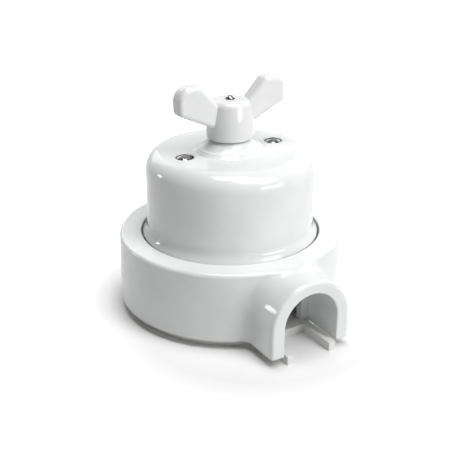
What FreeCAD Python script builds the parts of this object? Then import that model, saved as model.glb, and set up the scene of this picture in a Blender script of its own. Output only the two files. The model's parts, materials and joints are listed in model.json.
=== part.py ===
import FreeCAD, Part

import math
import os

import Sketcher

Vector = FreeCAD.Vector

# Every driving size in millimetres, written once: alias, value, what it is.
DRIVING_SIZES = (
    ("plate_thick", 3.2, "back plate under the box's foot"),
    ("plate_inset", 2.8, "back plate's edge inside the box's foot"),
    ("plate_floor", 2.0, "back plate's floor inside the spigot"),
    ("spigot_rise", 3.0, "spigot above the plate, inside the box"),
    ("spigot_wall", 2.2, "spigot's wall"),
    ("arm_gap", 0.8, "plate arm to the channel's side"),
    ("arm_wall", 2.6, "width of each plate arm"),
    ("arm_proud", 0.7, "plate arms beyond the spout's face"),
    ("notch_lip", 2.15, "stop wall's face to the notch's closed end"),
    ("wall_hole_radius", 2.25, "wall screw hole"),
    ("wall_hole_spacing", 50.0, "wall screw holes, centre to centre"),
    ("pillar_radius", 4.0, "pillar for a base screw"),
    ("pillar_edge", 0.8, "base screw's recess to the edge of the base's raised middle"),
    ("box_height", 25.1, "surface box, foot to top"),
    ("ring_width", 8.3, "box's ring at its foot, from the mouth out"),
    ("box_draft", 0.5, "box's ring smaller at the top than at the foot"),
    ("bore_step", 1.3, "box's inside below the ledge, wider than the mouth"),
    ("box_edge_round", 1.3, "box's top outer edge"),
    ("mouth_round", 0.4, "mouth's upper edge"),
    ("mouth_depth", 6.0, "box's top down to the ledge"),
    ("ledge_width", 3.3, "ledge inwards from the mouth"),
    ("ledge_thick", 3.5, "ledge that carries the switch base"),
    ("spout_length", 11.3, "spout beyond the ring's foot"),
    ("spout_half_width", 15.7, "spout outside, half width and arch radius"),
    ("spout_wall", 5.1, "spout's wall"),
    ("spout_drop", 0.4, "spout's crown below the box's top"),
    ("spout_blend", 4.0, "hollow round between spout and ring"),
    ("spout_edge_round", 1.2, "outer edge of the spout's face"),
    ("channel_lift", 0.7, "centre of the channel's arch above the spout's"),
    ("channel_edge_round", 0.5, "inner edge of the spout's face"),
    ("stop_wall", 2.0, "wall that stops the conduit"),
    ("window_jamb", 3.0, "stop wall at each side of the wire window"),
    ("fit_gap", 0.3, "gap between pieces that drop into each other"),
    ("run_gap", 0.05, "radial gap of a running fit or a thread"),
    ("base_gap", 0.5, "radial gap of the switch base in the mouth"),
    ("base_rim_thick", 3.0, "switch base's rim"),
    ("plateau_margin", 0.7, "raised middle of the switch base beyond the contacts"),
    ("plateau_gap", 1.2, "raised middle to the cover's inside"),
    ("plateau_rise", 4.0, "raised middle above the rim"),
    ("wire_slot_gap", 3.4, "wire slot to the terminal block"),
    ("wire_slot_back", 2.4, "wire slot's centre from the terminal block's, along Y"),
    ("wire_slot_half", 2.6, "wire slot, half width"),
    ("cover_height", 33.1, "cover, foot to flat top"),
    ("cover_gap", 0.65, "radial gap between cover flange and mouth"),
    ("cover_flange_height", 2.5, "cover's flange"),
    ("cover_cove_height", 6.0, "hollow flare from flange up to wall"),
    ("cover_cove_rise", 2.3, "flare's slope above the flange's edge"),
    ("cover_cove_round", 4.0, "flare's hollow round"),
    ("cover_edge_round", 0.4, "flange's upper edge"),
    ("cover_flange_step", 1.75, "cover's flange beyond its wall"),
    ("cover_draft", 0.25, "cover's wall smaller below the shoulder than at the foot"),
    ("shoulder_gap", 2.1, "screw recess to the shoulder's round"),
    ("cover_wall", 3.7, "cover's wall"),
    ("crown_thick", 3.9, "cover's top"),
    ("boss_slope", 2.0, "slope round the cover's raised centre"),
    ("boss_margin", 2.95, "cover's raised centre beyond the knob's collar"),
    ("boss_rise", 1.3, "raised centre above the flat top"),
    ("recess_gap", 1.7, "screw recess to the raised centre"),
    ("cover_head_radius", 3.05, "cover screw's head"),
    ("cover_head_height", 2.2, "cover screw's head, with its dome"),
    ("cover_head_dome", 1.3, "dome on the cover screw's head"),
    ("cover_shank_radius", 1.5, "cover screw's shank"),
    ("recess_fit", 0.25, "radial gap round a cover screw's head"),
    ("recess_round", 0.3, "upper edge of that recess"),
    ("crown_rise", 0.9, "cover screw's crown above the cover's top"),
    ("slot_width", 0.8, "screw slots"),
    ("slot_turn", -31.0, "cover screw slots from X, degrees"),
    ("neck_wall", 2.5, "knob's neck round the spindle"),
    ("neck_length", 6.3, "knob's neck, in and above the cover"),
    ("neck_sink", 3.2, "knob's neck below the cover's crest"),
    ("neck_gap", 0.35, "radial gap round the neck"),
    ("collar_step", 3.4, "knob's collar beyond the neck"),
    ("collar_height", 6.2, "knob's upright collar"),
    ("collar_round", 0.8, "collar's lower edge"),
    ("hub_draft", 1.45, "knob's hub smaller at its top than at the collar"),
    ("hub_height", 7.7, "knob's hub above the collar"),
    ("hub_blend", 10.0, "soft turn from collar to hub"),
    ("hub_round", 2.6, "hub's top edge"),
    ("wing_thick", 6.2, "wings"),
    ("wing_length", 12.95, "wing beyond the collar"),
    ("wing_sink", 3.0, "wing's root inside the hub's top"),
    ("wing_root_drop", 3.3, "wing's lower edge at the root, below the collar's top"),
    ("wing_root_height", 7.7, "wing's height at the root"),
    ("wing_rise", 8.0, "wing's lower edge, from root up to tip"),
    ("wing_tip_height", 9.7, "wing's height at the tip"),
    ("wing_crest_width", 8.25, "wing's top, along X"),
    ("wing_tip_round", 5.0, "wing's upper outer corner"),
    ("wing_crest_round", 2.6, "wing's upper inner corner"),
    ("wing_low_round", 1.8, "wing's lower corner"),
    ("wing_root_round", 2.0, "wing outline's turn inside the hub"),
    ("wing_edge_round", 1.7, "wing's long edges"),
    ("knob_head_radius", 1.55, "knob screw's head"),
    ("knob_head_height", 1.4, "knob screw's head, with its dome"),
    ("knob_head_dome", 0.9, "dome on the knob screw's head"),
    ("knob_head_sink", 0.25, "knob screw's seat below the hub's top"),
    ("knob_shank_radius", 1.0, "knob screw's shank"),
    ("knob_shank_length", 11.0, "knob screw's shank"),
    ("spindle_radius", 2.5, "spindle"),
    ("flat_depth", 0.6, "flats on the spindle's upper end"),
    ("spindle_rise", 0.5, "spindle's foot above the base's underside"),
    ("socket_depth", 14.5, "knob's socket for the spindle"),
    ("tip_gap", 0.5, "gap over the spindle's tip"),
    ("bush_wall", 1.5, "brass bush's wall"),
    ("bush_flange_width", 1.95, "brass bush's flange beyond its wall"),
    ("bush_flange_thick", 1.0, "brass bush's flange"),
    ("thrust_gap", 0.2, "gap between bush and carrier"),
    ("carrier_margin", 3.0, "contact carrier beyond the cam's flats"),
    ("carrier_thick", 3.0, "contact carrier"),
    ("blade_proud", 6.0, "blade beyond the carrier"),
    ("blade_wall", 0.45, "blade at each side of the spindle"),
    ("blade_thick", 1.0, "blade"),
    ("cam_margin", 0.3, "cam's flat beyond the rivets' heads"),
    ("cam_height", 7.0, "square cam"),
    ("cam_round", 1.8, "square cam's corners"),
    ("rivet_wall", 1.05, "rivet hole to the spindle's bore"),
    ("rivet_radius", 0.8, "rivet's shank"),
    ("rivet_head_radius", 1.3, "rivet's head"),
    ("rivet_head_height", 0.6, "rivet's head"),
    ("pin_radius", 0.8, "drive pin"),
    ("pin_gap", 0.03, "radial gap round pins and rivets"),
    ("leaf_gap", 0.1, "gap between blade and fork leaf"),
    ("leaf_thick", 0.8, "fork contact's sheet"),
    ("leaf_lap", 2.4, "fork's leaves over the blade"),
    ("web_gap", 1.6, "blade's tip to the fork's upright"),
    ("fork_tail", 0.3, "fork's tail beyond the terminal block"),
    ("fork_margin", 0.5, "fork contact beside the blade"),
    ("block_gap", 0.8, "fork's upright to the terminal block"),
    ("block_length", 6.4, "terminal block, along Y"),
    ("block_half_width", 4.0, "terminal block, half width"),
    ("clamp_wall", 2.0, "terminal block above its wire hole"),
    ("block_round", 0.8, "terminal block's upright edges"),
    ("wire_hole_radius", 1.6, "wire hole in the terminal block"),
    ("wire_floor", 0.5, "wire hole to the contact screw's thread"),
    ("small_shank_radius", 1.45, "small screws' shank"),
    ("small_head_radius", 2.6, "small screws' head"),
    ("small_head_height", 1.6, "small screws' head"),
    ("small_head_dome", 0.7, "dome on the small screws' head"),
    ("small_fit", 0.4, "radial gap round a sunk small screw's head"),
    ("small_sink", 0.6, "small screw's crown below the surface it is sunk in"),
    ("contact_bite", 2.6, "contact screw into the terminal block"),
    ("clamp_lift", 0.6, "terminal screw's head above the block"),
    ("bridge_margin", 0.2, "cover screw to the bearing bridge's bend"),
    ("bridge_half_width", 8.5, "bearing bridge, half width"),
    ("bridge_gap", 4.4, "rotor's rivets to the bearing bridge"),
    ("bridge_thick", 1.5, "bearing bridge's sheet"),
    ("bridge_bend", 2.5, "bearing bridge's outer bend"),
    ("foot_margin", 1.6, "bridge screw's head to the foot's inner end"),
    ("foot_gap", 1.3, "bridge screw's head to the bend"),
    ("bite_floor", 1.5, "base under a bridge screw's tip"),
    ("spring_thick", 0.5, "leaf spring's sheet"),
    ("spring_half_height", 2.9, "leaf spring, half height"),
    ("spring_hook", 2.0, "leaf spring's turned end"),
    ("spring_gap", 0.2, "gap round the springs at the bridge"),
    ("washer_width", 2.45, "thrust washer, from bore to edge"),
    ("washer_thick", 0.6, "thrust washer"),
    ("clip_width", 2.6, "retaining clip, from groove to edge"),
    ("clip_thick", 0.8, "retaining clip"),
    ("clip_bite", 0.5, "depth of the clip's groove"),
    ("clip_mouth", 3.0, "retaining clip's opening"),
    ("base_shank_radius", 1.6, "base screw's shank"),
    ("base_shank_length", 14.0, "base screw's shank"),
    ("pillar_gap", 0.2, "pillar's top below the base"),
    ("screw_reach", 2.2, "cover screw's tip below the bridge's top"),
)


class Size:
    """A length: its number now and the text that binds it to the sheet."""

    def __init__(self, value, text):
        self.value = value
        self.text = text

    def __add__(self, other):
        other = as_size(other)
        return Size(self.value + other.value, f"({self.text} + {other.text})")

    def __sub__(self, other):
        other = as_size(other)
        return Size(self.value - other.value, f"({self.text} - {other.text})")

    def __mul__(self, other):
        other = as_size(other)
        return Size(self.value * other.value, f"({self.text} * {other.text})")

    def __truediv__(self, other):
        other = as_size(other)
        return Size(self.value / other.value, f"({self.text} / {other.text})")

    def __neg__(self):
        return ZERO - self


def as_size(number):
    """A plain number as a Size; a Size stays as it is."""
    return number if isinstance(number, Size) else Size(float(number), str(number))


ZERO = Size(0.0, "0")


class SizeSheet:
    """The spreadsheet of driving sizes, with each alias as an attribute."""

    def __init__(self, doc):
        sheet = doc.addObject("Spreadsheet::Sheet", "Sizes")
        for row, (alias, value, note) in enumerate(DRIVING_SIZES, start=1):
            sheet.set(f"A{row}", alias)
            sheet.set(f"B{row}", str(value))
            sheet.set(f"C{row}", note)
            sheet.setAlias(f"B{row}", alias)
            setattr(self, alias, Size(float(value), f"Sizes.{alias}"))
        doc.recompute()


doc = FreeCAD.newDocument("rotary_switch")
s = SizeSheet(doc)

# Reaches from the axis that several pieces share, from the spindle outwards.
BORE = s.spindle_radius + s.run_gap
SPINDLE_FLAT = s.spindle_radius - s.flat_depth
CLIP_GROOVE = s.spindle_radius - s.clip_bite
BUSH = BORE + s.bush_wall
RIVET = BORE + s.rivet_wall + s.rivet_radius
CAM_HALF = RIVET + s.rivet_head_radius + s.cam_margin
CARRIER_EDGE = CAM_HALF + s.carrier_margin
BLADE_HALF = BORE + s.blade_wall
BLADE_TIP = CARRIER_EDGE + s.blade_proud
FORK_WEB = BLADE_TIP + s.web_gap
BLOCK_NEAR = FORK_WEB + s.leaf_thick + s.block_gap
BLOCK_FAR = BLOCK_NEAR + s.block_length
BLOCK_MIDDLE = (BLOCK_NEAR + BLOCK_FAR) / 2
FORK_END = BLOCK_FAR + s.fork_tail
PLATEAU_EDGE = FORK_END + s.plateau_margin
COVER_INSIDE = PLATEAU_EDGE + s.plateau_gap
COVER_FOOT = COVER_INSIDE + s.cover_wall
COVER_HEAD = COVER_FOOT - s.cover_draft
FLANGE = COVER_FOOT + s.cover_flange_step
MOUTH = FLANGE + s.cover_gap
BOX_BORE = MOUTH + s.bore_step
BOX_FOOT = MOUTH + s.ring_width
BOX_HEAD = BOX_FOOT - s.box_draft
SPOUT_FACE = BOX_FOOT + s.spout_length
CHANNEL_STOP = BOX_BORE + s.stop_wall
CHANNEL_HALF = s.spout_half_width - s.spout_wall
NECK = BORE + s.neck_wall
COLLAR = NECK + s.collar_step
HUB_HEAD = COLLAR - s.hub_draft
BOSS_CREST = COLLAR + s.boss_margin
BOSS_FOOT = BOSS_CREST + s.boss_slope
RECESS = s.cover_head_radius + s.recess_fit
COVER_SCREW = BOSS_FOOT + s.recess_gap + RECESS
BRIDGE_END = COVER_SCREW + s.cover_shank_radius + s.bridge_margin + s.bridge_bend
BRIDGE_SCREW = BRIDGE_END - s.bridge_bend - s.foot_gap - s.small_head_radius
SMALL_RECESS = s.small_head_radius + s.small_fit
DIAGONAL = Size(math.sqrt(2), "sqrt(2)")
PILLAR = (PLATEAU_EDGE - s.pillar_edge - SMALL_RECESS) / DIAGONAL

# Heights that several pieces share, from the wall face up.
SEAT = s.plate_thick + s.box_height - s.mouth_depth
RIM_TOP = SEAT + s.base_rim_thick
PLATEAU = RIM_TOP + s.plateau_rise
COVER_TOP = RIM_TOP + s.cover_height
KNOB_FOOT = COVER_TOP + s.boss_rise - s.neck_sink
SPINDLE_FOOT = SEAT + s.spindle_rise
SPINDLE_TIP = KNOB_FOOT + s.socket_depth - s.tip_gap
CARRIER = PLATEAU + s.bush_flange_thick + s.thrust_gap
BLADE = CARRIER + s.carrier_thick
CAM = BLADE + s.blade_thick
BRIDGE_TOP = CAM + s.cam_height + s.rivet_head_height + s.bridge_gap + s.bridge_thick
CLIP = BRIDGE_TOP + s.washer_thick
BLOCK = PLATEAU + s.leaf_thick
SCREW_SEAT = COVER_TOP + s.crown_rise - s.cover_head_height

# Depths and heights within a piece that another piece also needs.
SPOUT_SPRING = s.box_height - s.spout_drop - s.spout_half_width
WIRE_HOLE = s.contact_bite + s.fit_gap + s.wire_floor + s.wire_hole_radius
BLOCK_HEIGHT = WIRE_HOLE + s.wire_hole_radius + s.clamp_wall
SMALL_DEPTH = s.small_head_height + s.small_sink
BRIDGE_BITE = s.base_rim_thick + s.plateau_rise - s.bite_floor
THREAD = s.small_shank_radius + s.run_gap

# A piece drawn on one side of the axis, and the same piece turned to the other side.
HALF_TURN = {1: FreeCAD.Rotation(), -1: FreeCAD.Rotation(Vector(0, 0, 1), 180)}


def bind(target, field, size):
    """Binds one property of an object to the sheet."""
    target.setExpression(field, size.text)


def new_body(name, height=ZERO):
    """A body whose foot sits at a height above the wall face."""
    body = doc.addObject("PartDesign::Body", name)
    body.Label = name
    bind(body, "Placement.Base.z", height)
    return body


def new_sketch(body, name, role, offset=ZERO):
    """A sketch on one of the body's own origin planes, moved along that plane's normal."""
    plane = next(item for item in body.Origin.OriginFeatures if item.Role == role)
    sketch = body.newObject("Sketcher::SketchObject", name)
    sketch.AttachmentSupport = (plane, [""])
    sketch.MapMode = "FlatFace"
    bind(sketch, "AttachmentOffset.Base.z", offset)
    return sketch


def hold(sketch, kind, size, *where):
    """Adds a driving constraint and binds it to the sheet."""
    index = sketch.addConstraint(Sketcher.Constraint(kind, *where, size.value))
    bind(sketch, f"Constraints[{index}]", size)


def hold_point(sketch, shape, end, x, y):
    """Holds one point of a sketch at x, y from the sketch's origin."""
    hold(sketch, "DistanceX", x, -1, 1, shape, end)
    hold(sketch, "DistanceY", y, -1, 1, shape, end)


def draw_outline(sketch, corners):
    """Draws a closed outline of straight edges.

    Each corner is x, y and, where it is rounded, a radius. A rounded corner keeps its sharp
    point as construction, and the arc is tangent to both edges.
    """
    count = len(corners)
    sharp = [Vector(corner[0].value, corner[1].value, 0) for corner in corners]
    leave = list(sharp)
    reach = list(sharp)
    arcs = {}
    for i, corner in enumerate(corners):
        if len(corner) < 3:
            continue
        back = (sharp[i - 1] - sharp[i]).normalize()
        ahead = (sharp[(i + 1) % count] - sharp[i]).normalize()
        half = back.getAngle(ahead) / 2
        radius = corner[2].value
        reach[i] = sharp[i] + back * (radius / math.tan(half))
        leave[i] = sharp[i] + ahead * (radius / math.tan(half))
        inward = (back + ahead).normalize()
        middle = sharp[i] + inward * (radius / math.sin(half) - radius)
        turns_left = ahead.cross(back).z > 0
        arcs[i] = (Part.Arc(reach[i], middle, leave[i]), turns_left)
    edges = []
    for i in range(count):
        edges.append(sketch.addGeometry(Part.LineSegment(leave[i], reach[(i + 1) % count]), False))
    for i, corner in enumerate(corners):
        before = edges[i - 1]
        after = edges[i]
        if i not in arcs:
            sketch.addConstraint(Sketcher.Constraint("Coincident", before, 2, after, 1))
            hold_point(sketch, after, 1, corner[0], corner[1])
            continue
        curve, turns_left = arcs[i]
        arc = sketch.addGeometry(curve, False)
        first, last = (1, 2) if turns_left else (2, 1)
        sketch.addConstraint(Sketcher.Constraint("Tangent", before, 2, arc, first))
        sketch.addConstraint(Sketcher.Constraint("Tangent", arc, last, after, 1))
        hold(sketch, "Radius", corner[2], arc)
        point = sketch.addGeometry(Part.Point(sharp[i]), True)
        sketch.addConstraint(Sketcher.Constraint("PointOnObject", point, 1, before))
        sketch.addConstraint(Sketcher.Constraint("PointOnObject", point, 1, after))
        hold_point(sketch, point, 1, corner[0], corner[1])


def draw_circle(sketch, x, y, radius):
    """Draws a circle held by its centre and radius."""
    middle = Vector(x.value, y.value, 0)
    shape = sketch.addGeometry(Part.Circle(middle, Vector(0, 0, 1), radius.value), False)
    hold_point(sketch, shape, 3, x, y)
    hold(sketch, "Radius", radius, shape)


def draw_rectangle(sketch, x, y, half_x, half_y):
    """Draws an upright rectangle round a centre."""
    left, right = x - half_x, x + half_x
    low, high = y - half_y, y + half_y
    draw_outline(sketch, [(left, low), (right, low), (right, high), (left, high)])


def draw_arch(sketch, half_width, foot, spring):
    """Draws two straight legs from foot up to spring, and a half circle over them."""
    wide, low, middle = half_width.value, foot.value, spring.value
    circle = Part.Circle(Vector(0, middle, 0), Vector(0, 0, 1), wide)
    right = sketch.addGeometry(Part.LineSegment(Vector(wide, low, 0), Vector(wide, middle, 0)), False)
    top = sketch.addGeometry(Part.ArcOfCircle(circle, 0, math.pi), False)
    left = sketch.addGeometry(Part.LineSegment(Vector(-wide, middle, 0), Vector(-wide, low, 0)), False)
    floor = sketch.addGeometry(Part.LineSegment(Vector(-wide, low, 0), Vector(wide, low, 0)), False)
    for before, after in ((right, top), (top, left), (left, floor), (floor, right)):
        sketch.addConstraint(Sketcher.Constraint("Coincident", before, 2, after, 1))
    hold_point(sketch, top, 3, ZERO, spring)
    hold(sketch, "Radius", half_width, top)
    hold(sketch, "DistanceY", spring, -1, 1, top, 1)
    hold(sketch, "DistanceY", spring, -1, 1, top, 2)
    hold_point(sketch, right, 1, half_width, foot)
    hold_point(sketch, left, 2, -half_width, foot)


def turn(body, name, corners, cut=False):
    """Revolves an outline of radius and height about the body's Z axis, as material or as a cut."""
    sketch = new_sketch(body, f"{name}_profile", "XZ_Plane")
    draw_outline(sketch, corners)
    feature = body.newObject("PartDesign::Groove" if cut else "PartDesign::Revolution", name)
    feature.Profile = sketch
    feature.ReferenceAxis = (sketch, ["V_Axis"])
    feature.Angle = 360
    return feature


def extrude(body, name, sketch, length, both=False, cut=False, flip=False):
    """Pads or pockets a sketch by a length, to one side or evenly to both."""
    feature = body.newObject("PartDesign::Pocket" if cut else "PartDesign::Pad", name)
    feature.Profile = sketch
    bind(feature, "Length", length)
    feature.SideType = "Symmetric" if both else "One side"
    feature.Reversed = flip
    return feature


def drill(body, name, places, radius, top, depth):
    """Cuts round holes straight down from a height of the body."""
    sketch = new_sketch(body, f"{name}_centres", "XY_Plane", top)
    for x, y in places:
        draw_circle(sketch, x, y, radius)
    return extrude(body, name, sketch, depth, cut=True)


def round_edges(body, name, radius, wanted):
    """Rounds the edges of the body's tip for which wanted(edge) holds."""
    doc.recompute()
    base = body.Tip
    names = [f"Edge{i}" for i, edge in enumerate(base.Shape.Edges, start=1) if wanted(edge)]
    feature = body.newObject("PartDesign::Fillet", name)
    feature.Base = (base, names)
    bind(feature, "Radius", radius)
    return feature


def points_on(edge, count=9):
    """Points spread along an edge, ends left out."""
    first, last = edge.ParameterRange
    return [edge.valueAt(first + (last - first) * (i + 0.5) / count) for i in range(count)]


def pair(name, make):
    """A node of two equal solids: make(name, side) builds one on each side of the axis, 1 and -1."""
    group = doc.addObject("Part::Compound", f"{name}_pair")
    group.Links = [make(f"{name}_{word}", side) for word, side in (("first", 1), ("second", -1))]
    group.Label = name
    return group


def place(body, side, x=ZERO, y=ZERO):
    """Moves a body sideways to x, y, or to the opposite place on the axis's other side."""
    bind(body, "Placement.Base.x", x * side)
    bind(body, "Placement.Base.y", y * side)
    return body


def add_screw(name, head, shank, seat, slotted=True):
    """A domed screw on Z whose head's seat is at height 0 of its body.

    head is radius, height with dome and dome; shank is radius and length.
    """
    head_radius, head_height, dome = head
    shank_radius, length = shank
    body = new_body(name, seat)
    sketch = new_sketch(body, f"{name}_profile", "XZ_Plane")
    rim = head_height - dome
    sphere = (head_radius.value ** 2 + dome.value ** 2) / (2 * dome.value)
    run = [(ZERO, head_height), (ZERO, -length), (shank_radius, -length), (shank_radius, ZERO),
           (head_radius, ZERO), (head_radius, rim)]
    corners = [Vector(x.value, y.value, 0) for x, y in run]
    edges = [sketch.addGeometry(Part.LineSegment(a, b), False) for a, b in zip(corners, corners[1:])]
    half_angle = math.asin(head_radius.value / sphere)
    circle = Part.Circle(Vector(0, head_height.value - sphere, 0), Vector(0, 0, 1), sphere)
    arc = sketch.addGeometry(Part.ArcOfCircle(circle, math.pi / 2 - half_angle, math.pi / 2), False)
    for before, after in zip(edges, edges[1:]):
        sketch.addConstraint(Sketcher.Constraint("Coincident", before, 2, after, 1))
    sketch.addConstraint(Sketcher.Constraint("Coincident", edges[-1], 2, arc, 1))
    sketch.addConstraint(Sketcher.Constraint("Coincident", arc, 2, edges[0], 1))
    sketch.addConstraint(Sketcher.Constraint("PointOnObject", arc, 3, -2))
    for edge, (x, y) in zip(edges, run):
        hold_point(sketch, edge, 1, x, y)
    hold_point(sketch, edges[-1], 2, head_radius, rim)
    feature = body.newObject("PartDesign::Revolution", f"{name}_turned")
    feature.Profile = sketch
    feature.ReferenceAxis = (sketch, ["V_Axis"])
    feature.Angle = 360
    if slotted:
        slot = new_sketch(body, f"{name}_slot_outline", "XY_Plane", head_height)
        draw_rectangle(slot, ZERO, ZERO, head_radius + s.fit_gap, s.slot_width / 2)
        extrude(body, f"{name}_slot", slot, dome, cut=True)
    return body


def add_surface_box():
    """The glazed ring with its blended conduit spout, foot at the body's origin.

    Ring and spout are joined while the ring is still tall, so that the hollow blend runs right
    over the arch. The top is then cut flat through the blend, and the inside opened last.
    """
    body = new_body("surface_box", s.plate_thick)
    spare = s.spout_blend * 4
    tall = s.box_height + spare
    draft = (BOX_FOOT - BOX_HEAD) / s.box_height
    crown = BOX_FOOT - draft * tall
    turn(body, "ring", [(ZERO, ZERO), (BOX_FOOT, ZERO), (crown, tall), (ZERO, tall)])
    arch = new_sketch(body, "spout_outline", "XZ_Plane")
    draw_arch(arch, s.spout_half_width, ZERO, SPOUT_SPRING)
    extrude(body, "spout", arch, SPOUT_FACE)

    def in_valley(edge):
        """The three edges where the spout's outside meets the ring's outside."""
        reach = BOX_FOOT.value + 0.1
        side = s.spout_half_width.value + 0.1
        low = BOX_HEAD.value - 1
        inside = [low < math.hypot(p.x, p.y) < reach for p in points_on(edge)]
        near = [abs(p.x) < side and p.y < 0 and p.z > 0.1 for p in points_on(edge)]
        return all(inside) and all(near) and edge.BoundBox.XLength < 2 * side

    round_edges(body, "blend", s.spout_blend, in_valley)
    flat = new_sketch(body, "flat_outline", "XY_Plane", tall)
    draw_circle(flat, ZERO, ZERO, SPOUT_FACE)
    extrude(body, "flat_top", flat, spare, cut=True)

    def on_top_rim(edge):
        """The closed run of edges round the flat top."""
        return all(abs(p.z - s.box_height.value) < 0.01 for p in points_on(edge))

    round_edges(body, "top_edge", s.box_edge_round, on_top_rim)

    def on_face_arch(edge):
        """The arch and the legs of the spout's face, without its foot."""
        on_face = all(abs(p.y + SPOUT_FACE.value) < 0.01 for p in points_on(edge))
        return on_face and all(p.z > 0.05 for p in points_on(edge))

    round_edges(body, "face_edge", s.spout_edge_round, on_face_arch)
    seat = s.box_height - s.mouth_depth
    under = seat - s.ledge_thick
    ledge = MOUTH - s.ledge_width
    turn(body, "inside", [
        (ZERO, ZERO), (BOX_BORE, ZERO), (BOX_BORE, under, s.fit_gap),
        (ledge, under), (ledge, seat), (MOUTH, seat),
        (MOUTH, s.box_height), (ZERO, s.box_height)], cut=True)

    def on_mouth(edge):
        """The mouth's upper edge."""
        on_top = all(abs(p.z - s.box_height.value) < 0.01 for p in points_on(edge))
        return on_top and all(abs(math.hypot(p.x, p.y) - MOUTH.value) < 0.01 for p in points_on(edge))

    round_edges(body, "mouth_edge", s.mouth_round, on_mouth)
    channel = new_sketch(body, "channel_outline", "XZ_Plane", SPOUT_FACE)
    draw_arch(channel, CHANNEL_HALF, ZERO, SPOUT_SPRING + s.channel_lift)
    extrude(body, "channel", channel, SPOUT_FACE - CHANNEL_STOP, cut=True)
    window = new_sketch(body, "window_outline", "XZ_Plane", SPOUT_FACE)
    draw_arch(window, CHANNEL_HALF - s.window_jamb, ZERO, SPOUT_SPRING)
    extrude(body, "window", window, SPOUT_FACE, cut=True)

    def on_channel_arch(edge):
        """The channel's arch and legs in the spout's face."""
        inside = all(abs(p.x) < CHANNEL_HALF.value + 0.1 for p in points_on(edge))
        return inside and on_face_arch(edge)

    round_edges(body, "channel_edge", s.channel_edge_round, on_channel_arch)
    return body


def add_back_plate():
    """The moulded plate: rim under the box, spigot inside it, pillars, and arms in the spout."""
    body = new_body("back_plate")
    spigot = BOX_BORE - s.fit_gap
    well = spigot - s.spigot_wall
    spigot_top = s.plate_thick + s.spigot_rise
    edge = BOX_FOOT - s.plate_inset
    turn(body, "plate", [
        (ZERO, ZERO), (edge, ZERO), (edge, s.plate_thick), (spigot, s.plate_thick),
        (spigot, spigot_top), (well, spigot_top), (well, s.plate_floor), (ZERO, s.plate_floor)])
    arm_out = CHANNEL_HALF - s.arm_gap
    arm_inside = arm_out - s.arm_wall
    arm_end = SPOUT_FACE + s.arm_proud
    arms = new_sketch(body, "arms_outline", "XY_Plane")
    draw_outline(arms, [
        (-arm_out, -arm_end), (arm_out, -arm_end), (arm_out, -well), (-arm_out, -well)])
    extrude(body, "arms", arms, s.plate_thick)
    notch = new_sketch(body, "notch_outline", "XY_Plane", s.plate_thick)
    notch_end = -CHANNEL_STOP - s.notch_lip
    beyond = -arm_end - s.arm_wall
    draw_outline(notch, [
        (-arm_inside, beyond), (arm_inside, beyond), (arm_inside, notch_end),
        (-arm_inside, notch_end)])
    extrude(body, "notch", notch, s.plate_thick, cut=True)
    gate = new_sketch(body, "gate_outline", "XY_Plane", spigot_top)
    draw_rectangle(gate, ZERO, -spigot, CHANNEL_HALF, s.spigot_wall * 2)
    extrude(body, "gate", gate, s.spigot_rise, cut=True)
    pillars = new_sketch(body, "pillar_outline", "XY_Plane")
    draw_circle(pillars, PILLAR, PILLAR, s.pillar_radius)
    draw_circle(pillars, -PILLAR, -PILLAR, s.pillar_radius)
    top = SEAT - s.pillar_gap
    extrude(body, "pillars", pillars, top)
    places = [(PILLAR, PILLAR), (-PILLAR, -PILLAR)]
    drill(body, "pillar_holes", places, s.base_shank_radius + s.run_gap, top, s.base_shank_length)
    half = s.wall_hole_spacing / 2
    drill(body, "wall_holes", [(half, ZERO), (-half, ZERO)], s.wall_hole_radius, s.plate_thick, s.plate_thick)
    return body


def add_switch_base():
    """The porcelain disc that sits on the ledge and carries the mechanism, underside at its origin."""
    body = new_body("switch_base", SEAT)
    rim = MOUTH - s.base_gap
    top = s.base_rim_thick + s.plateau_rise
    bush = BUSH + s.run_gap
    turn(body, "disc", [
        (bush, ZERO), (rim, ZERO), (rim, s.base_rim_thick), (PLATEAU_EDGE, s.base_rim_thick),
        (PLATEAU_EDGE, top, s.fit_gap), (bush, top)])
    corner = [(PILLAR, PILLAR), (-PILLAR, -PILLAR)]
    drill(body, "base_screw_holes", corner, s.base_shank_radius + s.fit_gap, top, top)
    drill(body, "base_screw_recesses", corner, SMALL_RECESS, top, SMALL_DEPTH)
    ends = [(ZERO, BLOCK_MIDDLE), (ZERO, -BLOCK_MIDDLE)]
    drill(body, "contact_screw_holes", ends, s.small_shank_radius + s.fit_gap, top, top)
    drill(body, "contact_screw_recesses", ends, SMALL_RECESS, SMALL_DEPTH,
          SMALL_DEPTH)
    feet = [(BRIDGE_SCREW, ZERO), (-BRIDGE_SCREW, ZERO)]
    drill(body, "bridge_screw_holes", feet, THREAD, top, BRIDGE_BITE + s.fit_gap)
    slots = new_sketch(body, "wire_slot_outline", "XY_Plane", top)
    slot_x = s.block_half_width + s.wire_slot_gap + s.wire_slot_half
    slot_y = BLOCK_MIDDLE - s.wire_slot_back
    draw_rectangle(slots, slot_x, -slot_y, s.wire_slot_half, s.wire_slot_half)
    draw_rectangle(slots, -slot_x, slot_y, s.wire_slot_half, s.wire_slot_half)
    extrude(body, "wire_slots", slots, top, cut=True)
    return body


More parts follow.
